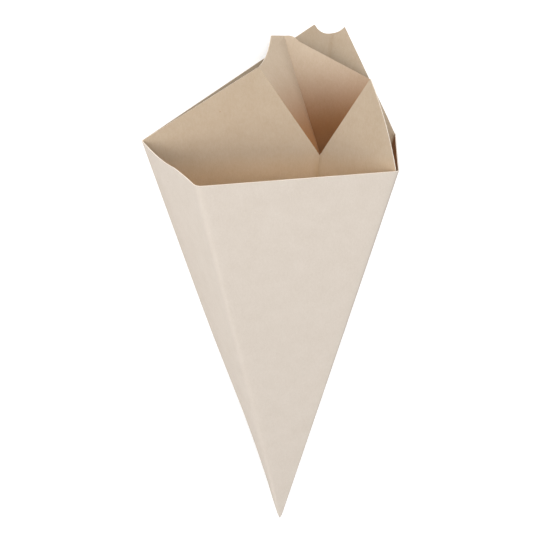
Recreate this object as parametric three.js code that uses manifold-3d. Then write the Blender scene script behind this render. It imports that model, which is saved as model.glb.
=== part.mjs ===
// A card cone for fries with a sauce pocket in its back corner. One die-cut sheet, creased, rolled and
// glued. Every panel runs up from the same tip. The sizes below are taken with the cone held upright:
// the tip is at zero, X runs to the right, Y to the back and Z up. The finished cone lies on its left
// back panel, with the tip towards -Y and the origin at the bottom centre of its box. Millimetres.

import * as THREE from 'three';
import { mergeVertices } from 'three/addons/utils/BufferGeometryUtils.js';
import Module from 'manifold-3d';

const wasm = await Module();
wasm.setup();

// The card, and how a crease and the pressed tip are built.
const cardThickness = 0.5;
const cardColour = 0xdccdb8;
const cornerTolerance = 1e-5;
const creaseSides = 10;
const pressedTipHeight = 7;
const pressedTipEnd = 0.05;
const curveSteps = 8;

// The front panel's straight edge.
const frontHalfWidth = 47.5;
const frontForward = 38;
const frontHeight = 198.5;

// The back corners of the two side panels.
const leftCornerOut = 62;
const leftCornerBack = 26.5;
const leftCornerHeight = 198.5;
const rightCornerOut = 63;
const rightCornerBack = 26.5;
const rightCornerHeight = 192.5;

// The left side's edge sags near the back corner and lifts near the front one. The shares say how far
// along the edge the sag is deepest, where the sag ends, and where the lift is highest.
const sideEdgeSag = 1.9;
const sideEdgeLift = 0.5;
const sagAt = 0.3;
const sagEnds = 0.6;
const liftAt = 0.8;

// The spine crease of the outer back, its two horns and the round notch between them.
const spineOut = 36.5;
const spineBack = 50.5;
const spineHeight = 238;
const leftHornOut = 27;
const rightHornOut = 42.5;
const hornRise = 5;
const rightHornDrop = 1.5;
const notchRadius = 8.5;
const notchShift = 1;

// The partition: the point where its two panels and the pocket meet, and its two upper corners.
const pocketLipOut = 19;
const pocketLipBack = 0;
const pocketLipHeight = 194.5;
const lipLeftOut = -8.5;
const lipLeftHeight = 237;
const lipRightOut = 38;
const lipRightHeight = 238;
const partitionEdgeBulge = 1.4;

// The pocket behind the partition: the top of its corner crease, the crease's foot and the right end.
const pocketCreaseOut = 10.5;
const pocketCreaseBack = 44;
const pocketCreaseHeight = 240.5;
const creaseFootOut = 26;
const creaseFootBack = 29;
const creaseFootHeight = 183.5;
const pocketRightOut = 52;
const pocketRightBack = 35;
const pocketRightHeight = 218.5;

// The shoulder stands over the top of the pocket's corner crease, to its left. The rim between it and the
// partition's left corner is cut hollow, and it is round on the crease's right.
const shoulderReach = 7.5;
const shoulderRise = 3;
const hollowReach = 6.5;
const shoulderFlat = 2.5;
const shoulderRound = 6;

const point = (x, y, z) => new THREE.Vector3(x, y, z);
const tip = point(0, 0, 0);
const halfCard = cardThickness / 2;

// The plane through three points.
const planeOf = (a, b, c) => new THREE.Plane().setFromCoplanarPoints(a, b, c);

// The point of a plane that is seen at x and z from the front.
function seenOn(plane, x, z) {
  const { normal, constant } = plane;
  return point(x, -(constant + normal.x * x + normal.z * z) / normal.y, z);
}

// The point where a plane crosses the line from the tip through a corner.
function crossing(plane, corner) {
  return corner.clone().multiplyScalar(-plane.constant / plane.normal.dot(corner));
}

// A point part of the way from a to b.
const along = (a, b, share) => a.clone().lerp(b, share);

// A point at a distance from a, on the way to b.
const stepTo = (a, b, distance) => a.clone().add(b.clone().sub(a).setLength(distance));

const frontLeft = point(-frontHalfWidth, -frontForward, frontHeight);
const frontRight = point(frontHalfWidth, -frontForward, frontHeight);
const leftCorner = point(-leftCornerOut, leftCornerBack, leftCornerHeight);
const rightCorner = point(rightCornerOut, rightCornerBack, rightCornerHeight);
const spine = point(spineOut, spineBack, spineHeight);
const spineTop = spine.clone().multiplyScalar((spineHeight + hornRise) / spineHeight);
const backLeftPlane = planeOf(tip, leftCorner, spine);
const backRightPlane = planeOf(tip, spine, rightCorner);
const leftHorn = seenOn(backLeftPlane, leftHornOut, spineTop.z);
const rightHorn = seenOn(backRightPlane, rightHornOut, spineTop.z - rightHornDrop);

const lip = point(pocketLipOut, pocketLipBack, pocketLipHeight);
const lipLeft = seenOn(planeOf(tip, leftCorner, lip), lipLeftOut, lipLeftHeight);
const lipRight = seenOn(planeOf(tip, lip, frontRight), lipRightOut, lipRightHeight);
const creaseTop = point(pocketCreaseOut, pocketCreaseBack, pocketCreaseHeight);
const creaseFoot = point(creaseFootOut, creaseFootBack, creaseFootHeight);
const pocketRight = point(pocketRightOut, pocketRightBack, pocketRightHeight);
const pocketPlane = planeOf(creaseTop, pocketRight, creaseFoot);
const pocketFoot = crossing(pocketPlane, lip);

// A closed geometry as a solid that can be joined and cut.
function solidFrom(geometry) {
  geometry.deleteAttribute('normal');
  geometry.deleteAttribute('uv');
  const merged = mergeVertices(geometry, cornerTolerance);
  const vertProperties = Float32Array.from(merged.attributes.position.array);
  const triVerts = Uint32Array.from(merged.index.array);
  return new wasm.Manifold(new wasm.Mesh({ numProp: 3, vertProperties, triVerts }));
}

// A flat panel of card with its middle surface on the given corners.
function panel(...corners) {
  const across = corners[1].clone().sub(corners[0]).normalize();
  const normal = across.clone().cross(corners[2].clone().sub(corners[0])).normalize();
  const up = normal.clone().cross(across);
  const flat = corners.map((corner) => {
    const offset = corner.clone().sub(corners[0]);
    return new THREE.Vector2(offset.dot(across), offset.dot(up));
  });
  const outline = new THREE.Shape(flat);
  const plate = new THREE.ExtrudeGeometry(outline, { depth: cardThickness, bevelEnabled: false });
  plate.translate(0, 0, -halfCard);
  const place = new THREE.Matrix4().makeBasis(across, up, normal).setPosition(corners[0]);
  return solidFrom(plate.applyMatrix4(place));
}

// A rounded crease between two points, as thick as the card.
function crease(a, b) {
  const rod = new THREE.CylinderGeometry(halfCard, halfCard, a.distanceTo(b), creaseSides);
  const turn = new THREE.Quaternion().setFromUnitVectors(point(0, 1, 0), b.clone().sub(a).normalize());
  const middle = along(a, b, 0.5);
  return solidFrom(rod.applyQuaternion(turn).translate(middle.x, middle.y, middle.z));
}

// The points of a bent edge between two corners, drawn towards a third point.
const bentEdge = (a, towards, b) => new THREE.QuadraticBezierCurve3(a, towards, b).getPoints(curveSteps);

const joined = (solids) => solids.reduce((whole, next) => whole.add(next));

// The left side's top edge: a long sag beside the back corner, then a short lift beside the front one.
function sideEdge() {
  const down = tip.clone().sub(along(leftCorner, frontLeft, 0.5)).normalize();
  const sag = along(leftCorner, frontLeft, sagAt).addScaledVector(down, 2 * sideEdgeSag);
  const middle = along(leftCorner, frontLeft, sagEnds);
  const lift = along(leftCorner, frontLeft, liftAt).addScaledVector(down, -2 * sideEdgeLift);
  return [...bentEdge(leftCorner, sag, middle), ...bentEdge(middle, lift, frontLeft).slice(1)];
}

// The front panel and the two sides.
function frontAndSides() {
  return [
    panel(tip, frontLeft, frontRight),
    panel(tip, ...sideEdge()),
    panel(tip, frontRight, rightCorner),
    crease(tip, frontLeft),
    crease(tip, frontRight),
    crease(tip, leftCorner),
    crease(tip, rightCorner),
  ];
}

// The outer back: two panels folded at the spine, with a round notch cut between their horns.
function outerBack() {
  const back = joined([
    panel(tip, leftCorner, leftHorn, spineTop),
    panel(tip, spineTop, rightHorn, rightCorner),
    crease(tip, spineTop),
  ]);
  const cutter = new THREE.CylinderGeometry(notchRadius, notchRadius, spineBack, 6 * curveSteps);
  cutter.translate(spineOut - notchShift, spineBack, spineHeight + notchRadius);
  return back.subtract(solidFrom(cutter));
}

// The partition in front of the pocket: a left panel, and a right panel whose outer edge is free.
function partition() {
  const out = lipRight.clone().sub(lip).normalize();
  const bulge = along(lipRight, frontRight, 0.5).addScaledVector(out, 2 * partitionEdgeBulge);
  return [
    panel(tip, leftCorner, lipLeft, lip),
    panel(tip, lip, ...bentEdge(lipRight, bulge, frontRight)),
    crease(tip, lip),
    crease(lip, lipLeft),
  ];
}

// The pocket's left wall, from the partition's slanted lip back to the corner crease.
function pocketSide() {
  const wallPlane = planeOf(lip, lipLeft, creaseTop);
  const shoulder = seenOn(wallPlane, creaseTop.x - shoulderReach, creaseTop.z + shoulderRise);
  const hollow = seenOn(wallPlane, lipLeft.x + hollowReach, lipLeft.z);
  return [
    panel(lip, ...bentEdge(lipLeft, hollow, shoulder), creaseTop),
    panel(lip, creaseTop, creaseFoot),
    panel(lip, creaseFoot, pocketFoot),
    crease(lip, creaseTop),
    crease(creaseTop, creaseFoot),
    crease(creaseFoot, pocketFoot),
    crease(lip, creaseFoot),
  ];
}

// The pocket's back wall, from the corner crease across to the cone's right side.
function pocketBack() {
  const flatEnd = seenOn(pocketPlane, creaseTop.x + shoulderFlat, creaseTop.z);
  const roundEnd = stepTo(flatEnd, pocketRight, shoulderRound);
  const roundTop = seenOn(pocketPlane, flatEnd.x + shoulderRound / 2, flatEnd.z);
  const rightFoot = crossing(pocketPlane, rightCorner);
  const frontFoot = crossing(pocketPlane, frontRight);
  const rim = [creaseTop, ...bentEdge(flatEnd, roundTop, roundEnd), pocketRight];
  return panel(creaseFoot, ...rim, rightFoot, frontFoot, pocketFoot);
}

// The glued end, where every layer is pressed into one point.
function pressedTip() {
  const ring = [frontLeft, frontRight, rightCorner, spine, leftCorner];
  const section = ring.map((corner) => corner.clone().multiplyScalar(pressedTipHeight / corner.z));
  const outline = new THREE.Shape(section.map((corner) => new THREE.Vector2(corner.x, corner.y)));
  const block = new THREE.ExtrudeGeometry(outline, { depth: pressedTipHeight, bevelEnabled: false });
  const spots = block.attributes.position;
  for (let i = 0; i < spots.count; i += 1) {
    const share = Math.max(spots.getZ(i) / pressedTipHeight, pressedTipEnd);
    spots.setXY(i, spots.getX(i) * share, spots.getY(i) * share);
  }
  return solidFrom(block);
}

// The whole sheet, upright.
function cardSheet() {
  const panels = [...frontAndSides(), outerBack(), ...partition(), ...pocketSide(), pocketBack()];
  return joined([...panels, pressedTip()]);
}

// The turn that lays the left back panel's outer face flat, with the tip towards -Y.
function layingTurn() {
  const up = backLeftPlane.normal.clone();
  if (up.dot(frontLeft) < 0) up.negate();
  const right = point(0, 0, 1).cross(up).normalize();
  const forward = up.clone().cross(right);
  return new THREE.Matrix4().makeBasis(right, forward, up).transpose();
}

// The lying sheet as a geometry, moved so that the bottom centre of its box is the origin.
function lyingGeometry() {
  const mesh = cardSheet().getMesh();
  const geometry = new THREE.BufferGeometry();
  geometry.setAttribute('position', new THREE.BufferAttribute(mesh.vertProperties, mesh.numProp));
  geometry.setIndex(new THREE.BufferAttribute(mesh.triVerts, 1));
  geometry.applyMatrix4(layingTurn()).computeBoundingBox();
  const centre = geometry.boundingBox.getCenter(point(0, 0, 0));
  geometry.translate(-centre.x, -centre.y, -geometry.boundingBox.min.z);
  geometry.computeVertexNormals();
  return geometry;
}

const card = new THREE.MeshStandardMaterial({ color: cardColour, roughness: 0.9, metalness: 0 });
const sheet = new THREE.Mesh(lyingGeometry(), card);
sheet.name = 'card_cone';

const cone = new THREE.Group();
cone.add(sheet);

export default cone;
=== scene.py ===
"""A folded card cone for fries with a sauce pocket, lying on a white table.

The cone is one sheet of natural kraft card: creased, rolled up from a pointed tip and glued. Its corners are
laid out with the cone upright, in millimetres, with the tip at zero, X to the right, Y to the back and Z up.
The sheet is then laid on its left back panel, in metres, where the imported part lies.
"""

import logging
import math
from dataclasses import dataclass, field
from enum import Enum, IntEnum
from itertools import pairwise

import bmesh
import bpy
from mathutils import Matrix, Vector


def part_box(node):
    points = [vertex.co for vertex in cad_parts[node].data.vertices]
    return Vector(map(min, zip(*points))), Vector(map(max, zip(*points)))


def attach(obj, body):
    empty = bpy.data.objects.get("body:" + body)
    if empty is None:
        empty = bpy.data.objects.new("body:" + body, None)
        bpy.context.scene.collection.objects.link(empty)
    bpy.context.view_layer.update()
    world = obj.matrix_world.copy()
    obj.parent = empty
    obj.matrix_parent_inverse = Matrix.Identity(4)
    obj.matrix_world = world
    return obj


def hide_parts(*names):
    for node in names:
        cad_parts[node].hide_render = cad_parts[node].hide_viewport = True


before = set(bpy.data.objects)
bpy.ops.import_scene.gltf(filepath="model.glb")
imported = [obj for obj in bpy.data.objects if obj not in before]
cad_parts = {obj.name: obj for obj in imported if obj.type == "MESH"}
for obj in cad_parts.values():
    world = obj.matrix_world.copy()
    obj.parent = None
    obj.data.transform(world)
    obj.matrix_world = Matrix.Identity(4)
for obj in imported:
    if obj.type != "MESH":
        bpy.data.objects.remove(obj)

log = logging.getLogger("fries_cone")

METRES = 0.001
NODE = "card_cone"
# The vertex attribute that places the painted highlight and painted shade along the folds.
FOLD = "fold"
REACH = "reach"

Colour = tuple[float, float, float]
Bounds = tuple[Vector, Vector]


def srgb(red: int, green: int, blue: int) -> Colour:
    """Gives the linear colour of an 8-bit sRGB colour.

    Args:
        red: The red value, 0 to 255.
        green: The green value, 0 to 255.
        blue: The blue value, 0 to 255.

    Returns:
        The three linear values, 0 to 1.
    """
    shares = (value / 255 for value in (red, green, blue))
    return tuple(s / 12.92 if s <= 0.04045 else ((s + 0.055) / 1.055) ** 2.4 for s in shares)


def step_to(start: Vector, end: Vector, distance: float) -> Vector:
    """Gives the point at a distance from start, on the way to end."""
    return start + (end - start).normalized() * distance


def bent_edge(start: Vector, towards: Vector, end: Vector, steps: int) -> list[Vector]:
    """Samples a quadratic curve from start to end, drawn towards a third point.

    Args:
        start: The first point.
        towards: The control point.
        end: The last point.
        steps: How many stretches the curve is cut into.

    Returns:
        steps + 1 points, both ends among them.
    """
    shares = (i / steps for i in range(steps + 1))
    return [start * (1 - t) ** 2 + towards * 2 * t * (1 - t) + end * t**2 for t in shares]


@dataclass(frozen=True)
class Plane:
    """A plane through the cone.

    Args:
        normal: Its unit normal.
        offset: The normal's product with any point of the plane.
    """

    normal: Vector
    offset: float

    @classmethod
    def through(cls, a: Vector, b: Vector, c: Vector) -> "Plane":
        """Makes the plane through three points."""
        normal = (b - a).cross(c - a).normalized()
        return cls(normal, normal.dot(a))

    def seen_at(self, x: float, z: float) -> Vector:
        """Gives the plane's point that is seen at x and z from the front."""
        y = (self.offset - self.normal.x * x - self.normal.z * z) / self.normal.y
        return Vector((x, y, z))

    def crossing(self, corner: Vector) -> Vector:
        """Gives the point where the plane cuts the line from the tip through a corner."""
        return corner * (self.offset / self.normal.dot(corner))


@dataclass(frozen=True)
class RimPoint:
    """A point on the rim of the rolled sheet.

    Args:
        place: Where it is, upright, in millimetres.
        fold: How sharply the card is folded along the line from the tip to it, 0 to 1, which sets how
            strongly the fold's painted highlight and painted shade show there.
        reach: On the pocket's lip, the share of the way from the lip's low point to its high one, else 0.
    """

    place: Vector
    fold: float = 0.0
    reach: float = 0.0


@dataclass(frozen=True)
class ConeLayout:
    """The corners of the sheet, with the cone upright, in millimetres.

    Args:
        card: The card's thickness.
        front_left: The front panel's left corner.
        front_right: The front panel's right corner.
        left_corner: The back corner of the left side.
        right_corner: The back corner of the right side.
        spine: The low point of the notch, on the crease of the outer back.
        horn_rise: How far the notch's horns stand over it.
        left_horn_out: The left horn's X.
        right_horn_out: The right horn's X. It is not used.
        right_horn_drop: How much lower the right horn is.
        notch_radius: The radius of the notch between the horns.
        notch_shift: How far the notch's middle is to the left of the spine.
        spine_fold: How far to each side of the spine the fold's painted highlight and painted shade reach.
        lip: The low point of the pocket's lip, where the partition is creased.
        lip_left_out: The X of the lip's high left corner.
        lip_left_height: The height of that corner.
        lip_right_out: The X of the partition's high right corner.
        lip_right_height: The height of that corner.
        edge_bulge: How far the partition's free edge bulges.
        crease_top: The top of the crease in the pocket's back corner.
        crease_foot: The foot of that crease.
        pocket_right: The right end of the pocket's rim.
        shoulder_reach: How far the shoulder is to the left of the corner crease's top.
        shoulder_rise: How far it stands over that top.
        hollow_reach: How far to the right of the lip's high corner the rim's hollow is drawn towards.
        shoulder_flat: The flat stretch of rim to the right of the crease.
        shoulder_round: The rounded stretch after it.
        side_sag: How far the left side's rim sags.
        side_lift: How far it lifts beside the front corner.
        sag_at: The share of the left side's rim where it sags most.
        sag_ends: The share where the sag ends.
        lift_at: The share where it lifts most.
    """

    card: float = 0.5
    front_left: Vector = field(default_factory=lambda: Vector((-47.5, -38, 198.5)))
    front_right: Vector = field(default_factory=lambda: Vector((47.5, -38, 198.5)))
    left_corner: Vector = field(default_factory=lambda: Vector((-62, 26.5, 198.5)))
    right_corner: Vector = field(default_factory=lambda: Vector((63, 26.5, 192.5)))
    spine: Vector = field(default_factory=lambda: Vector((36.5, 50.5, 238)))
    horn_rise: float = 5
    left_horn_out: float = 27
    right_horn_out: float = 42.5
    right_horn_drop: float = 1.5
    notch_radius: float = 8.5
    notch_shift: float = 1
    spine_fold: float = 1.2
    lip: Vector = field(default_factory=lambda: Vector((19, 0, 194.5)))
    lip_left_out: float = -8.5
    lip_left_height: float = 237
    lip_right_out: float = 38
    lip_right_height: float = 238
    edge_bulge: float = 1.4
    crease_top: Vector = field(default_factory=lambda: Vector((10.5, 44, 240.5)))
    crease_foot: Vector = field(default_factory=lambda: Vector((26, 29, 183.5)))
    pocket_right: Vector = field(default_factory=lambda: Vector((52, 35, 218.5)))
    shoulder_reach: float = 7.5
    shoulder_rise: float = 3
    hollow_reach: float = 6.5
    shoulder_flat: float = 2.5
    shoulder_round: float = 6
    side_sag: float = 1.9
    side_lift: float = 0.5
    sag_at: float = 0.3
    sag_ends: float = 0.6
    lift_at: float = 0.8

    @property
    def tip(self) -> Vector:
        """The cone's pointed end."""
        return Vector((0, 0, 0))

    @property
    def back_left(self) -> Plane:
        """The left panel of the outer back, which the cone lies on."""
        return Plane.through(self.tip, self.left_corner, self.spine)

    @property
    def back_right(self) -> Plane:
        """The right panel of the outer back."""
        return Plane.through(self.tip, self.spine, self.right_corner)

    @property
    def lip_left(self) -> Vector:
        """The high left corner of the pocket's lip."""
        plane = Plane.through(self.tip, self.left_corner, self.lip)
        return plane.seen_at(self.lip_left_out, self.lip_left_height)

    @property
    def lip_right(self) -> Vector:
        """The high right corner of the partition."""
        plane = Plane.through(self.tip, self.lip, self.front_right)
        return plane.seen_at(self.lip_right_out, self.lip_right_height)

    @property
    def pocket_back(self) -> Plane:
        """The pocket's back wall."""
        return Plane.through(self.crease_top, self.pocket_right, self.crease_foot)

    def side_rim(self, steps: int) -> list[Vector]:
        """Gives the left side's wavy rim.

        Args:
            steps: How many stretches the sag and the lift are each cut into.

        Returns:
            The rim's points, from the front corner to the back one.
        """
        down = (self.tip - self.left_corner.lerp(self.front_left, 0.5)).normalized()
        sag = self.left_corner.lerp(self.front_left, self.sag_at) + down * 2 * self.side_sag
        middle = self.left_corner.lerp(self.front_left, self.sag_ends)
        lift = self.left_corner.lerp(self.front_left, self.lift_at) - down * 2 * self.side_lift
        back = bent_edge(self.left_corner, sag, middle, steps)
        return [*bent_edge(self.front_left, lift, middle, steps), *reversed(back[:-1])]

    def notch(self, steps: int) -> list[RimPoint]:
        """Gives the round notch between the two horns.

        Args:
            steps: How many stretches it is cut into.

        Returns:
            The notch's points from left to right, with the fold strongest at the spine.
        """
        middle = Vector((self.spine.x - self.notch_shift, self.spine.z + self.notch_radius))
        rise = self.notch_radius - self.horn_rise
        start = math.pi + math.asin(rise / self.notch_radius)
        end = 2 * math.pi - math.asin((rise + self.right_horn_drop) / self.notch_radius)
        points = []
        for i in range(steps + 1):
            angle = start + (end - start) * i / steps
            x = middle.x + self.notch_radius * math.cos(angle)
            z = middle.y + self.notch_radius * math.sin(angle)
            off_spine = x - self.spine.x * z / self.spine.z
            plane = self.back_left if off_spine < 0 else self.back_right
            fold = max(0.0, 1 - abs(off_spine) / self.spine_fold)
            points.append(RimPoint(plane.seen_at(x, z), fold))
        return points

    def laying_turn(self) -> Matrix:
        """Gives the turn that lays the cone down.

        Returns:
            The turn after which the left back panel is flat and the tip points towards -Y.
        """
        up = self.back_left.normal.copy()
        if up.dot(self.front_left) < 0:
            up.negate()
        right = Vector((0, 0, 1)).cross(up).normalized()
        return Matrix((right, up.cross(right), up)).to_4x4()


@dataclass(frozen=True)
class RolledWrap:
    """The outer panels and the partition: one strip that is rolled round the tip.

    Args:
        pitch: The spacing of points along the rim.
        rows: How many rows of faces run down to the tip.
        last_row: The share of the height that is left at the last row.
        fold_reach: How far a soft fold reaches to each side at the rim.
        wide_reach: How far the front left fold reaches, which is softer than the others.
        wide_fold: How strongly that fold's painted highlight and painted shade show, 0 to 1.
        fold_steps: How many faces round a soft fold.
        free_gap: How far the partition's free edge stays off the front crease.
        soft_height: Below this height the front left crease starts to fade.
        soft_band: How wide the fading crease is, as a share of the height.
        soft_passes: How often the fading crease is smoothed at the tip.
        pinch: How far the left crease is pressed in above the tip.
        pinch_height: The height where it is pressed in most.
        pinch_spread: How far the pressed stretch runs up and down.
        pinch_width: How far from the crease it reaches, at the height of the corner.
        pinch_start: Below this height it fades out, so that the tip stays in place.
    """

    pitch: float = 5.0
    rows: int = 44
    last_row: float = 0.012
    fold_reach: float = 1.3
    wide_reach: float = 3.2
    wide_fold: float = 0.15
    fold_steps: int = 4
    free_gap: float = 1.6
    soft_height: float = 128
    soft_band: float = 0.2
    soft_passes: int = 60
    pinch: float = 1.5
    pinch_height: float = 48
    pinch_spread: float = 40
    pinch_width: float = 70
    pinch_start: float = 20

    def straight(self, start: Vector, end: Vector) -> list[RimPoint]:
        """Gives the points of a straight stretch of rim, its ends left out."""
        count = max(1, round((end - start).length / self.pitch))
        return [RimPoint(start.lerp(end, i / count)) for i in range(1, count)]

    def soft_fold(
        self, before: Vector, corner: Vector, after: Vector, reach: float, strength: float = 1.0
    ) -> list[RimPoint]:
        """Gives the points that round a crease between two panels.

        Args:
            before: A point of the rim on the panel before the crease.
            corner: The rim's corner at the crease.
            after: A point of the rim on the panel after it.
            reach: How far the round reaches to each side.
            strength: How strongly the fold's painted highlight and painted shade show, 0 to 1.

        Returns:
            The points, with the fold strongest in the middle.
        """
        start = step_to(corner, before, reach)
        end = step_to(corner, after, reach)
        points = bent_edge(start, corner, end, self.fold_steps)
        half = self.fold_steps / 2
        return [RimPoint(p, strength * (1 - abs(i - half) / half)) for i, p in enumerate(points)]

    def back_rim(self, layout: ConeLayout) -> list[RimPoint]:
        """Gives the rim of the outer back.

        Args:
            layout: The sheet's corners.

        Returns:
            The rim's points, from the left corner to just before the right one.
        """
        notch = layout.notch(4 * self.fold_steps)
        horn = layout.back_left.seen_at(layout.left_horn_out, layout.spine.z + layout.horn_rise)
        left = [RimPoint(layout.left_corner), *self.straight(layout.left_corner, horn), RimPoint(horn)]
        right = self.straight(notch[-1].place, layout.right_corner)
        return [*left, *notch, *right[:-1]]

    def front_rim(self, layout: ConeLayout) -> list[RimPoint]:
        """Gives the rim of the front panel and the two sides.

        Args:
            layout: The sheet's corners.

        Returns:
            The rim's points, from the right back corner round the front to the left back corner.
        """
        side = layout.side_rim(2 * self.fold_steps)
        right, near, left = layout.right_corner, layout.front_right, layout.front_left
        points = self.soft_fold(layout.spine, right, near, self.fold_reach)
        points += self.straight(right, near)
        points += self.soft_fold(right, near, left, self.fold_reach)
        points += self.straight(near, left)
        points += self.soft_fold(near, left, side[2], self.wide_reach, self.wide_fold)
        points += [RimPoint(p) for p in side[3:-2]]
        points += self.soft_fold(side[-2], layout.left_corner, layout.lip_left, self.fold_reach)
        return points

    def partition_rim(self, layout: ConeLayout) -> list[RimPoint]:
        """Gives the rim of the partition.

        Args:
            layout: The sheet's corners.

        Returns:
            The rim's points, from the left back corner to the foot of the free edge.
        """
        rise = (layout.lip_left - layout.lip).length
        slope = self.straight(layout.lip_left, layout.lip)
        lip = [RimPoint(p.place, 0, (p.place - layout.lip).length / rise) for p in slope]
        out = (layout.lip_right - layout.lip).normalized()
        bulge = layout.lip_right.lerp(layout.front_right, 0.5) + out * 2 * layout.edge_bulge
        end = step_to(layout.front_right, layout.lip, self.free_gap)
        free = bent_edge(layout.lip_right, bulge, end, 2 * self.fold_steps)
        points = self.straight(layout.left_corner, layout.lip_left)
        points += [RimPoint(layout.lip_left, 0, 1), *lip, RimPoint(layout.lip, 1, 0)]
        points += self.straight(layout.lip, layout.lip_right)
        points += [RimPoint(p) for p in free]
        return points

    def rolled(self, bm: bmesh.types.BMesh, layout: ConeLayout) -> list[bmesh.types.BMEdge]:
        """Rolls the strip: its rim is extruded row by row down to the tip.

        Args:
            bm: The mesh that the strip goes into.
            layout: The sheet's corners.

        Returns:
            The edges of the pocket's lip.
        """
        fold, reach = bm.verts.layers.float[FOLD], bm.verts.layers.float[REACH]
        rim = [*self.back_rim(layout), *self.front_rim(layout), *self.partition_rim(layout)]
        row = [bm.verts.new(point.place) for point in rim]
        for vert, point in zip(row, rim):
            vert[fold], vert[reach] = point.fold, point.reach
        edges = [bm.edges.new(pair) for pair in pairwise(row)]
        last = next(i for i, point in enumerate(rim) if point.reach == 1)
        first = next(i for i, point in enumerate(rim) if i > last and point.reach == 0)
        lip = edges[last:first]
        self.run_to_tip(bm, edges)
        return lip

    def run_to_tip(self, bm: bmesh.types.BMesh, edges: list[bmesh.types.BMEdge]) -> None:
        """Extrudes the rim's edges towards the tip, row by row.

        Args:
            bm: The mesh that holds the rim.
            edges: The rim's edges.
        """
        shares = [self.last_row + (1 - self.last_row) * (1 - i / self.rows) for i in range(self.rows + 1)]
        for above, below in pairwise(shares):
            grown = bmesh.ops.extrude_edge_only(bm, edges=edges)["geom"]
            verts = [item for item in grown if isinstance(item, bmesh.types.BMVert)]
            edges = [item for item in grown if isinstance(item, bmesh.types.BMEdge)]
            bmesh.ops.scale(bm, vec=Vector((1, 1, 1)) * (below / above), verts=verts)

    def fade_crease(self, bm: bmesh.types.BMesh, layout: ConeLayout) -> None:
        """Smooths the front left crease towards the tip, where the rolled card is nearly round.

        Args:
            bm: The mesh that holds the rolled strip.
            layout: The sheet's corners.
        """
        line = layout.front_left.normalized()
        for i in range(self.soft_passes):
            top = self.soft_height * (1 - i / self.soft_passes)
            low = [v for v in bm.verts if not v.is_boundary and v.co.z < top]
            band = [v for v in low if (v.co - line * v.co.dot(line)).length < self.soft_band * v.co.z]
            bmesh.ops.smooth_vert(
                bm, verts=band, factor=0.5, use_axis_x=True, use_axis_y=True, use_axis_z=False
            )

    def press_left(self, bm: bmesh.types.BMesh, layout: ConeLayout) -> None:
        """Presses the left crease in a little above the tip, through every layer.

        Args:
            bm: The mesh that holds the whole open sheet.
            layout: The sheet's corners.
        """
        for vert in bm.verts:
            share = vert.co.z / layout.left_corner.z
            gap = (vert.co - layout.left_corner * share).length
            near = max(0.0, 1 - gap / (self.pinch_width * share + 1))
            swell = math.exp(-(((vert.co.z - self.pinch_height) / self.pinch_spread) ** 2))
            vert.co.x += self.pinch * near**2 * swell * min(1.0, vert.co.z / self.pinch_start)


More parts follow.
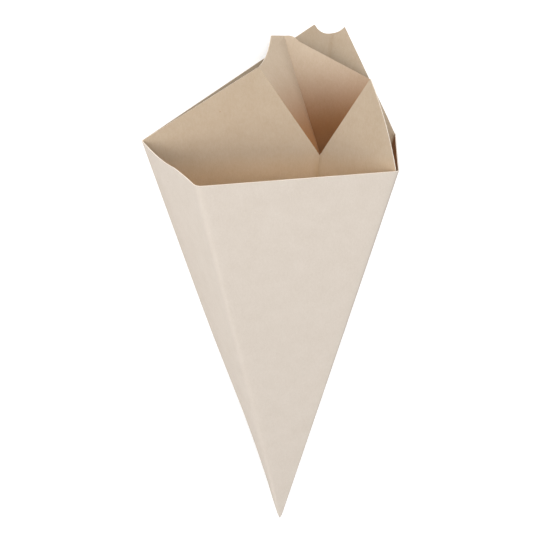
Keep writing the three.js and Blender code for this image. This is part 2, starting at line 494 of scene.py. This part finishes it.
@dataclass(frozen=True)
class SaucePocket:
    """The pocket behind the partition: the card folds over the lip, down to a crease and across the back.

    Args:
        steps: How many faces each stretch of the left wall is cut into.
        low_steps: How many faces its low end is cut into, between the crease's foot and the partition.
        crease_round: How far the corner crease is rounded to each side.
        clearance: How far the back wall's lower corners stay inside the cone's creases.
    """

    steps: int = 8
    low_steps: int = 3
    crease_round: float = 0.7
    clearance: float = 1.2

    def wall_rim(self, layout: ConeLayout) -> tuple[list[Vector], int]:
        """Gives what the left wall's far edge follows.

        Args:
            layout: The sheet's corners.

        Returns:
            The points after the lip's high corner, and the index of the corner crease's top among them.
        """
        plane = Plane.through(layout.lip, layout.lip_left, layout.crease_top)
        top, high = layout.crease_top, layout.lip_left
        shoulder = plane.seen_at(top.x - layout.shoulder_reach, top.z + layout.shoulder_rise)
        hollow = plane.seen_at(high.x + layout.hollow_reach, high.z)
        upper = bent_edge(layout.lip_left, hollow, shoulder, self.steps)[1:]
        foot = layout.pocket_back.crossing(layout.lip)
        down = [layout.crease_top.lerp(layout.crease_foot, i / self.steps) for i in range(self.steps + 1)]
        low = [layout.crease_foot.lerp(foot, i / self.low_steps) for i in range(1, self.low_steps + 1)]
        return [*upper, *down, *low], len(upper)

    def folded(
        self, bm: bmesh.types.BMesh, layout: ConeLayout, lip: list[bmesh.types.BMEdge]
    ) -> list[bmesh.types.BMVert]:
        """Folds the left wall over the lip, as a fan round the lip's low point.

        Args:
            bm: The mesh that holds the rolled strip.
            layout: The sheet's corners.
            lip: The edges of the pocket's lip.

        Returns:
            The wall's far edge, from the corner crease's top down to its foot.
        """
        reach = bm.verts.layers.float[REACH]
        points, corner = self.wall_rim(layout)
        far, edges = [], lip
        for point in points:
            grown = bmesh.ops.extrude_edge_only(bm, edges=edges)["geom"]
            verts = [item for item in grown if isinstance(item, bmesh.types.BMVert)]
            edges = [item for item in grown if isinstance(item, bmesh.types.BMEdge)]
            for edge in edges:
                edge.link_faces[0].material_index = Side.POCKET_OUTSIDE
            for vert in verts:
                vert.co = layout.lip.lerp(point, vert[reach])
            far.append(max(verts, key=lambda v: v[reach]))
        return far[corner:]

    def back_wall(self, bm: bmesh.types.BMesh, layout: ConeLayout, far: list[bmesh.types.BMVert]) -> None:
        """Makes the back wall, and rounds the crease between the two walls.

        Args:
            bm: The mesh that holds the left wall.
            layout: The sheet's corners.
            far: The left wall's far edge, from the crease's top down to its foot.
        """
        plane = layout.pocket_back
        flat_end = plane.seen_at(layout.crease_top.x + layout.shoulder_flat, layout.crease_top.z)
        round_end = step_to(flat_end, layout.pocket_right, layout.shoulder_round)
        bend = plane.seen_at(flat_end.x + layout.shoulder_round / 2, flat_end.z)
        foot = far[-1].co.copy()
        front_foot = step_to(plane.crossing(layout.front_right), foot, self.clearance)
        right_foot = step_to(plane.crossing(layout.right_corner), foot, self.clearance)
        rim = bent_edge(flat_end, bend, round_end, self.steps)
        outline = [front_foot, right_foot, layout.pocket_right, *reversed(rim)]
        wall = bm.faces.new([*far, *(bm.verts.new(place) for place in outline)])
        wall.material_index = Side.POCKET_OUTSIDE
        line = far[: self.steps + 1]
        crease = [e for e in wall.edges if e.verts[0] in line and e.verts[1] in line]
        bmesh.ops.bevel(
            bm, geom=crease, offset=self.crease_round, segments=3, profile=0.5, affect="EDGES", material=-1
        )


class Side(IntEnum):
    """The sides of the card, in the order of their material slots. The pocket's walls have their own, which
    the inside of the right side panel also takes as painted shade.
    """

    OUTSIDE = 0
    INSIDE = 1
    CUT = 2
    POCKET_OUTSIDE = 3
    POCKET_INSIDE = 4
    POCKET_CUT = 5


class NodeBench:
    """Adds and links the shader nodes of one material."""

    def __init__(self, name: str) -> None:
        """Starts an empty material.

        Args:
            name: The material's name.
        """
        self.material = bpy.data.materials.new(name)
        self.material.use_nodes = True
        self.tree = self.material.node_tree
        self.tree.nodes.clear()

    def add(
        self, kind: str, sockets: dict[str | int, object] | None = None, **settings: object
    ) -> bpy.types.Node:
        """Adds a node.

        Args:
            kind: The node's type name.
            sockets: What goes into its inputs: another node's output, or a value.
            **settings: The node's own properties.

        Returns:
            The new node.
        """
        node = self.tree.nodes.new(kind)
        for name, value in settings.items():
            setattr(node, name, value)
        for name, value in (sockets or {}).items():
            if isinstance(value, bpy.types.NodeSocket):
                self.tree.links.new(value, node.inputs[name])
            else:
                node.inputs[name].default_value = value
        return node

    def blend(self, share: object, low: object, high: object, mode: str = "MIX") -> bpy.types.NodeSocket:
        """Mixes two colours.

        Args:
            share: How far the result is the second colour, 0 to 1, as a value or a socket.
            low: The first colour.
            high: The second colour.
            mode: How the two are mixed.

        Returns:
            The result's socket.
        """
        node = self.add("ShaderNodeMix", data_type="RGBA", blend_type=mode)
        for index, value in ((0, share), (6, low), (7, high)):
            if isinstance(value, bpy.types.NodeSocket):
                self.tree.links.new(value, node.inputs[index])
            else:
                node.inputs[index].default_value = value
        return node.outputs[2]

    def sum(self, first: object, second: object, factor: float) -> bpy.types.NodeSocket:
        """Gives first * factor + second as a socket."""
        return self.math("MULTIPLY_ADD", first, factor, second)

    def math(self, operation: str, *values: object, **settings: object) -> bpy.types.NodeSocket:
        """Adds a maths node on the given values or sockets and gives its result's socket."""
        return self.add("ShaderNodeMath", dict(enumerate(values)), operation=operation, **settings).outputs[0]


@dataclass(frozen=True)
class KraftFinish:
    """Matt kraft card: fine mottle and fibres, faint specks, and a painted highlight and painted shade along
    the folds.

    The painted shading colour is painted shade down the pocket and painted light further down inside the
    cone, tuned to the photo's light. It is no property of the card.

    Args:
        name: The material's name.
        light: The colour of its pale patches.
        dark: The colour of its darker patches.
        fold: The colour painted along a sharp fold: a painted highlight where it is lighter than the card,
            painted shade where it is darker.
        painted_shading: What the colour is multiplied by further down towards the tip: painted shade where it
            darkens, painted light where it brightens.
        painted_shading_from: The Y, in metres, where that painted shading starts.
        painted_shading_to: The Y where it is complete.
        speck: The colour of a speck of bark in the pulp.
        fold_share: How far a fold takes on its painted colour.
        tone_low: The mixed tone at which the card is fully dark.
        tone_high: The mixed tone at which it is fully light.
        mottle_scale: Soft patches to a metre.
        mottle_rough: How strong the mottle's finer steps are.
        mottle_share: The share of the tone that the mottle adds.
        grain_scale: Grains to a metre.
        grain_share: The share of the tone that the grain adds.
        fibre_scale: Fibres to a metre, across their length.
        fibre_stretch: How much longer than wide a fibre is.
        fibre_turn: How the fibres' direction is turned, in radians.
        fibre_share: The share of the tone that the fibres add.
        speck_scale: Places for a speck, to a metre.
        speck_size: A speck's radius as a share of its place.
        speck_core: The share of that radius that has the full colour.
        speck_rarity: The share of places that stay empty.
        speck_strength: How far a speck takes on its colour.
        roughness: The card's roughness.
        shine: The strength of its highlights.
        relief: The depth of its fibres in metres.
        relief_strength: How far that relief is shown, 0 to 1.
    """

    name: str
    light: Colour
    dark: Colour
    fold: Colour
    painted_shading: Colour = (1.0, 1.0, 1.0)
    painted_shading_from: float = 0.112
    painted_shading_to: float = 0.06
    speck: Colour = srgb(150, 112, 78)
    fold_share: float = 0.35
    tone_low: float = 0.36
    tone_high: float = 0.64
    mottle_scale: float = 120.0
    mottle_rough: float = 0.62
    mottle_share: float = 0.35
    grain_scale: float = 1900.0
    grain_share: float = 0.3
    fibre_scale: float = 1300.0
    fibre_stretch: float = 2.5
    fibre_turn: tuple[float, float, float] = (0.3, 0.2, 0.5)
    fibre_share: float = 0.35
    speck_scale: float = 75.0
    speck_size: float = 0.032
    speck_core: float = 0.3
    speck_rarity: float = 0.72
    speck_strength: float = 0.6
    roughness: float = 0.88
    shine: float = 0.22
    relief: float = 0.00004
    relief_strength: float = 0.6

    def tone(self, bench: NodeBench, place: bpy.types.NodeSocket) -> bpy.types.NodeSocket:
        """Mixes the mottle, the grain and the fibres.

        Args:
            bench: Where the nodes go.
            place: The object coordinates.

        Returns:
            The mixed value, which lies round a half.
        """
        mottle = bench.add(
            "ShaderNodeTexNoise",
            {"Vector": place, "Scale": self.mottle_scale, "Detail": 5.0, "Roughness": self.mottle_rough},
        )
        grain = bench.add("ShaderNodeTexNoise", {"Vector": place, "Scale": self.grain_scale, "Detail": 2.0})
        stretch = (1, 1 / self.fibre_stretch, 1)
        stretched = bench.add(
            "ShaderNodeMapping", {"Vector": place, "Rotation": self.fibre_turn, "Scale": stretch}
        )
        fibre = bench.add(
            "ShaderNodeTexNoise", {"Vector": stretched.outputs[0], "Scale": self.fibre_scale, "Detail": 3.0}
        )
        fine = bench.sum(grain.outputs[0], 0.0, self.grain_share)
        finer = bench.sum(fibre.outputs[0], fine, self.fibre_share)
        return bench.sum(mottle.outputs[0], finer, self.mottle_share)

    def specks(self, bench: NodeBench, place: bpy.types.NodeSocket) -> bpy.types.NodeSocket:
        """Makes a mask of a few scattered specks.

        Args:
            bench: Where the nodes go.
            place: The object coordinates.

        Returns:
            The mask, 0 beside a speck and speck_strength in it.
        """
        cells = bench.add("ShaderNodeTexVoronoi", {"Vector": place, "Scale": self.speck_scale})
        core = self.speck_size * self.speck_core
        spot = bench.add(
            "ShaderNodeMapRange",
            {"Value": cells.outputs["Distance"], "From Min": self.speck_size, "From Max": core},
        )
        chance = bench.add("ShaderNodeSeparateColor", {0: cells.outputs["Color"]})
        kept = bench.math("GREATER_THAN", chance.outputs[0], self.speck_rarity)
        both = bench.math("MULTIPLY", spot.outputs[0], kept)
        return bench.math("MULTIPLY", both, self.speck_strength)

    def material(self) -> bpy.types.Material:
        """Builds the material.

        Returns:
            The finished material.
        """
        bench = NodeBench(self.name)
        place = bench.add("ShaderNodeTexCoord").outputs["Object"]
        tone = self.tone(bench, place)
        spread = bench.add(
            "ShaderNodeMapRange", {"Value": tone, "From Min": self.tone_low, "From Max": self.tone_high}
        )
        colour = bench.blend(spread.outputs[0], (*self.dark, 1), (*self.light, 1))
        # Painted highlight and painted shade along the folds, where the fold attribute is set.
        crease = bench.add("ShaderNodeAttribute", attribute_name=FOLD).outputs["Fac"]
        share = bench.math("MULTIPLY", crease, self.fold_share)
        colour = bench.blend(share, colour, (*self.fold, 1))
        colour = bench.blend(self.specks(bench, place), colour, (*self.speck, 1))
        # Painted shading towards the tip, by the object's Y: painted shade in the pocket, painted light
        # inside the cone.
        axes = bench.add("ShaderNodeSeparateXYZ", {0: place})
        shading_share = bench.add(
            "ShaderNodeMapRange",
            {"Value": axes.outputs["Y"], "From Min": self.painted_shading_from, "From Max": self.painted_shading_to},
            interpolation_type="SMOOTHSTEP",
        )
        colour = bench.blend(shading_share.outputs[0], colour, bench.blend(1.0, colour, (*self.painted_shading, 1), "MULTIPLY"))
        bump = bench.add(
            "ShaderNodeBump", {"Height": tone, "Strength": self.relief_strength, "Distance": self.relief}
        )
        surface = bench.add(
            "ShaderNodeBsdfPrincipled",
            {
                "Base Color": colour,
                "Roughness": self.roughness,
                "Specular IOR Level": self.shine,
                "Normal": bump.outputs[0],
            },
        )
        bench.add("ShaderNodeOutputMaterial", {"Surface": surface.outputs[0]})
        return bench.material


@dataclass(frozen=True)
class CardCone:
    """The whole sheet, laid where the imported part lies.

    Args:
        layout: The sheet's corners.
        wrap: The rolled strip.
        pocket: The sauce pocket.
        finishes: The finish of each side of the card.
        nib_height: How far up from the tip the layers are pressed together.
        nib_end: Where the pressed end starts, up from the tip.
        nib_fill: How much of the cone's width the pressed end fills.
        sharp_angle: Edges that turn by more than this many degrees are shaded sharp.
        same_plane: Two normals with a product above this lie in one panel.
        weld: Points nearer to each other than this become one, in millimetres.
    """

    layout: ConeLayout
    wrap: RolledWrap
    pocket: SaucePocket
    finishes: dict[Side, KraftFinish]
    nib_height: float = 5.0
    nib_end: float = 0.6
    nib_fill: float = 0.85
    sharp_angle: float = 32.0
    same_plane: float = 0.995
    weld: float = 1e-4

    def press_tip(self, bm: bmesh.types.BMesh) -> None:
        """Adds the glued end, where every layer is pressed into one point.

        Args:
            bm: The mesh that holds the open sheet.
        """
        lay = self.layout
        ring = [lay.front_left, lay.front_right, lay.right_corner, lay.spine, lay.left_corner]
        end = sum(ring, Vector()).normalized() * self.nib_end
        places = [end, *(corner * (self.nib_fill * self.nib_height / corner.z) for corner in ring)]
        bmesh.ops.convex_hull(bm, input=[bm.verts.new(place) for place in places])

    def sheet(self) -> bmesh.types.BMesh:
        """Folds the sheet's middle surface.

        Returns:
            The open sheet, upright, in millimetres.
        """
        bm = bmesh.new()
        for name in (FOLD, REACH):
            bm.verts.layers.float.new(name)
        lip = self.wrap.rolled(bm, self.layout)
        far = self.pocket.folded(bm, self.layout, lip)
        self.pocket.back_wall(bm, self.layout, far)
        bmesh.ops.remove_doubles(bm, verts=bm.verts, dist=self.weld)
        bm.normal_update()
        self.shade_right_side(bm)
        self.wrap.fade_crease(bm, self.layout)
        self.wrap.press_left(bm, self.layout)
        self.press_tip(bm)
        return bm

    def shade_right_side(self, bm: bmesh.types.BMesh) -> None:
        """Gives the inside of the right side panel the pocket's finish.

        It is painted shade, there only to look dark behind the partition's free edge, as in the photo.

        Args:
            bm: The mesh that holds the open sheet.
        """
        lay = self.layout
        side = Plane.through(lay.tip, lay.front_right, lay.right_corner)
        for face in bm.faces:
            middle = face.calc_center_median()
            flat = abs(face.normal.dot(side.normal)) > self.same_plane
            if flat and abs(side.normal.dot(middle)) < lay.card and face.material_index == Side.OUTSIDE:
                face.material_index = Side.POCKET_OUTSIDE

    def face_out(self, bm: bmesh.types.BMesh) -> None:
        """Turns every face of the open sheet so that its outside faces out of the cone's front.

        Args:
            bm: The mesh that holds the open sheet.
        """
        bmesh.ops.recalc_face_normals(bm, faces=bm.faces)
        middle = (self.layout.front_left + self.layout.front_right) / 3
        front = min(bm.faces, key=lambda f: (f.calc_center_median() - middle).length)
        out = self.layout.front_right.cross(self.layout.front_left)
        if front.normal.dot(out) * (1 if out.y < 0 else -1) < 0:
            bmesh.ops.reverse_faces(bm, faces=bm.faces)

    def place(self, bm: bmesh.types.BMesh, home: Bounds) -> Matrix:
        """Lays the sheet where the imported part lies.

        Args:
            bm: The sheet, upright, in millimetres. It is turned, shrunk to metres and moved.
            home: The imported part's lowest and highest corners.

        Returns:
            The whole move, from upright millimetres to the part's frame.
        """
        turn = Matrix.Scale(METRES, 4) @ self.layout.laying_turn()
        bm.transform(turn)
        low = Vector(min(v.co[i] for v in bm.verts) for i in range(3))
        high = Vector(max(v.co[i] for v in bm.verts) for i in range(3))
        half = self.layout.card * METRES / 2
        x = (home[0].x + home[1].x - low.x - high.x) / 2
        shift = Matrix.Translation((x, home[1].y - high.y - half / 2, home[0].z + half - low.z))
        bm.transform(shift)
        return shift @ turn

    def thicken(self, obj: bpy.types.Object) -> None:
        """Gives the sheet its thickness, with a material for each side, and sharp cut edges.

        Args:
            obj: The object that holds the open sheet. Its mesh is replaced by the thick one.
        """
        card = obj.modifiers.new("card", "SOLIDIFY")
        card.thickness = self.layout.card * METRES
        card.offset = 0
        card.material_offset = Side.INSIDE
        card.material_offset_rim = Side.CUT
        bpy.context.view_layer.update()
        graph = bpy.context.evaluated_depsgraph_get()
        seen = obj.evaluated_get(graph)
        thick = bpy.data.meshes.new_from_object(seen, preserve_all_data_layers=True, depsgraph=graph)
        obj.modifiers.clear()
        obj.data = thick
        thick.shade_smooth()
        thick.set_sharp_from_angle(angle=math.radians(self.sharp_angle))

    def build(self, home: Bounds) -> Matrix:
        """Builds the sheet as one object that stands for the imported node.

        Args:
            home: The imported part's lowest and highest corners.

        Returns:
            The move from upright millimetres to the part's frame.
        """
        bm = self.sheet()
        self.face_out(bm)
        move = self.place(bm, home)
        mesh = bpy.data.meshes.new("kraft_sheet")
        bm.to_mesh(mesh)
        bm.free()
        made = {finish: finish.material() for finish in dict.fromkeys(self.finishes.values())}
        for side in Side:
            mesh.materials.append(made[self.finishes[side]])
        obj = bpy.data.objects.new("kraft_sheet", mesh)
        bpy.context.scene.collection.objects.link(obj)
        self.thicken(obj)
        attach(obj, "root")
        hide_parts(NODE)
        log.info("kraft_sheet: %d faces", len(obj.data.polygons))
        return move


class Lamp(Enum):
    """The studio's soft lamps: place in metres, size in metres, power in watts."""

    ABOVE = ((-0.2, 0.3, 1.5), 1.1, 12.5)
    MOUTH = ((0.1, 1.3, 0.9), 1.0, 6.0)
    LEFT = ((-1.3, 0.0, 0.7), 1.0, 10.0)


@dataclass(frozen=True)
class Studio:
    """The white table, the lamps and the camera.

    Args:
        turn_deg: How far the camera stands round to the left of the upright cone's front.
        tilt_deg: How far it looks down on the upright cone.
        distance: Its distance from the tip along the view, in millimetres.
        slide: How far it is moved to the right and up, in millimetres.
        lens: Its focal length in millimetres.
        sensor: The width of its sensor in millimetres.
        world: The strength of the even light.
        table_size: The side of the table in metres.
        table_drop: How far it lies under the cone in metres.
        table_grey: The table's reflectance.
        table_glow: What the camera alone sees added to the table, so that it is white.
    """

    turn_deg: float = 11.95
    tilt_deg: float = 23.41
    distance: float = 1200.0
    slide: tuple[float, float] = (-5.0, 125.7)
    lens: float = 158.41
    sensor: float = 36
    world: float = 0.44
    table_size: float = 6.0
    table_drop: float = 0.0003
    table_grey: float = 0.8
    table_glow: float = 0.38

    def camera(self, move: Matrix) -> None:
        """Places the camera.

        Args:
            move: The move from upright millimetres to the part's frame.
        """
        turn, tilt = math.radians(self.turn_deg), math.radians(self.tilt_deg)
        back = Vector((-math.sin(turn) * math.cos(tilt), -math.cos(turn) * math.cos(tilt), math.sin(tilt)))
        right = Vector((math.cos(turn), -math.sin(turn), 0))
        up = back.cross(right)
        place = move @ (back * self.distance + right * self.slide[0] + up * self.slide[1])
        axes = Matrix([move.to_3x3() @ axis / METRES for axis in (right, up, back)]).transposed()
        data = bpy.data.cameras.new("camera")
        data.lens = self.lens
        data.sensor_width = self.sensor
        data.sensor_fit = "HORIZONTAL"
        camera = bpy.data.objects.new("camera", data)
        camera.matrix_world = Matrix.Translation(place) @ axes.to_4x4()
        bpy.context.scene.collection.objects.link(camera)
        bpy.context.scene.camera = camera
        log.info("camera: %.2f m from the origin", place.length)

    def lamps(self) -> None:
        """Hangs the soft lamps, each turned to the object."""
        for lamp in Lamp:
            place, size, power = lamp.value
            data = bpy.data.lights.new(lamp.name.lower(), "AREA")
            data.size = size
            data.energy = power
            obj = bpy.data.objects.new(data.name, data)
            obj.location = place
            obj.rotation_euler = Vector(place).to_track_quat("Z", "Y").to_euler()
            bpy.context.scene.collection.objects.link(obj)
            log.info("lamp %s: %.1f W", data.name, power)

    def light_world(self) -> None:
        """Fills the room with even white light."""
        world = bpy.data.worlds.new("room")
        world.use_nodes = True
        world.node_tree.nodes["Background"].inputs["Color"].default_value = (1, 1, 1, 1)
        world.node_tree.nodes["Background"].inputs["Strength"].default_value = self.world
        bpy.context.scene.world = world

    def table(self) -> None:
        """Makes the white table, which keeps the cone's soft shadow."""
        bench = NodeBench("white_table")
        grey = (self.table_grey,) * 3
        paper = bench.add("ShaderNodeBsdfDiffuse", {"Color": (*grey, 1)})
        path = bench.add("ShaderNodeLightPath")
        seen = bench.math("ADD", path.outputs["Is Camera Ray"], path.outputs["Is Glossy Ray"])
        seen = bench.math("ADD", seen, path.outputs["Is Transmission Ray"], use_clamp=True)
        strength = bench.math("MULTIPLY", seen, self.table_glow)
        glow = bench.add("ShaderNodeEmission", {"Color": (1, 1, 1, 1), "Strength": strength})
        both = bench.add("ShaderNodeAddShader", {0: paper.outputs[0], 1: glow.outputs[0]})
        bench.add("ShaderNodeOutputMaterial", {"Surface": both.outputs[0]})
        bm = bmesh.new()
        bmesh.ops.create_grid(bm, x_segments=1, y_segments=1, size=self.table_size / 2)
        bmesh.ops.translate(bm, vec=Vector((0, 0, -self.table_drop)), verts=bm.verts)
        mesh = bpy.data.meshes.new("table")
        bm.to_mesh(mesh)
        bm.free()
        mesh.materials.append(bench.material)
        table = bpy.data.objects.new("table", mesh)
        bpy.context.scene.collection.objects.link(table)
        log.info("table: %.1f m", self.table_size)

    def build(self, move: Matrix) -> None:
        """Builds the whole studio round the object.

        Args:
            move: The move from upright millimetres to the part's frame.
        """
        self.light_world()
        self.lamps()
        self.table()
        self.camera(move)
        bpy.context.scene.view_settings.view_transform = "Standard"


# The outside: the card's own colour, with a faint painted highlight along the folds.
OUTER = KraftFinish(
    "kraft_outside", light=srgb(211, 201, 190), dark=srgb(204, 193, 181), fold=srgb(214, 204, 194)
)
# The inside: darker and browner than the outside, partly the card's own inner face and partly painted shade,
# with painted shade in the folds and painted light further down towards the tip.
INNER = KraftFinish(
    "kraft_inside_painted_shading",
    light=srgb(184, 167, 146),
    dark=srgb(176, 157, 134),
    fold=srgb(157, 131, 102),
    painted_shading=(1.34, 1.22, 1.06),
    painted_shading_from=0.072,
    painted_shading_to=0.056,
)
# The pocket's walls and the inside of the right side panel: a lighter copy of the inside's kraft as painted
# light at the top, painted shade in the folds and heavy painted shade further down.
POCKET = KraftFinish(
    "kraft_pocket_painted_shade",
    light=srgb(205, 187, 166),
    dark=srgb(196, 176, 152),
    fold=srgb(182, 155, 126),
    painted_shading=(0.5, 0.28, 0.145),
    painted_shading_from=0.115,
    painted_shading_to=0.073,
)
# The cut edges: lighter than the faces, with painted shade where they cross a fold.
CUT = KraftFinish(
    "kraft_cut_edge",
    light=srgb(242, 232, 218),
    dark=srgb(230, 217, 201),
    fold=srgb(230, 216, 199),
    relief=0.00008,
)
FINISHES = dict(zip(Side, (OUTER, INNER, CUT, OUTER, POCKET, CUT)))


def main() -> None:
    """Builds the cone and its studio."""
    logging.basicConfig(level=logging.INFO, format="%(name)s %(message)s")
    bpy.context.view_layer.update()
    cone = CardCone(ConeLayout(), RolledWrap(), SaucePocket(), FINISHES)
    move = cone.build(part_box(NODE))
    Studio().build(move)


if __name__ == "__main__":
    main()
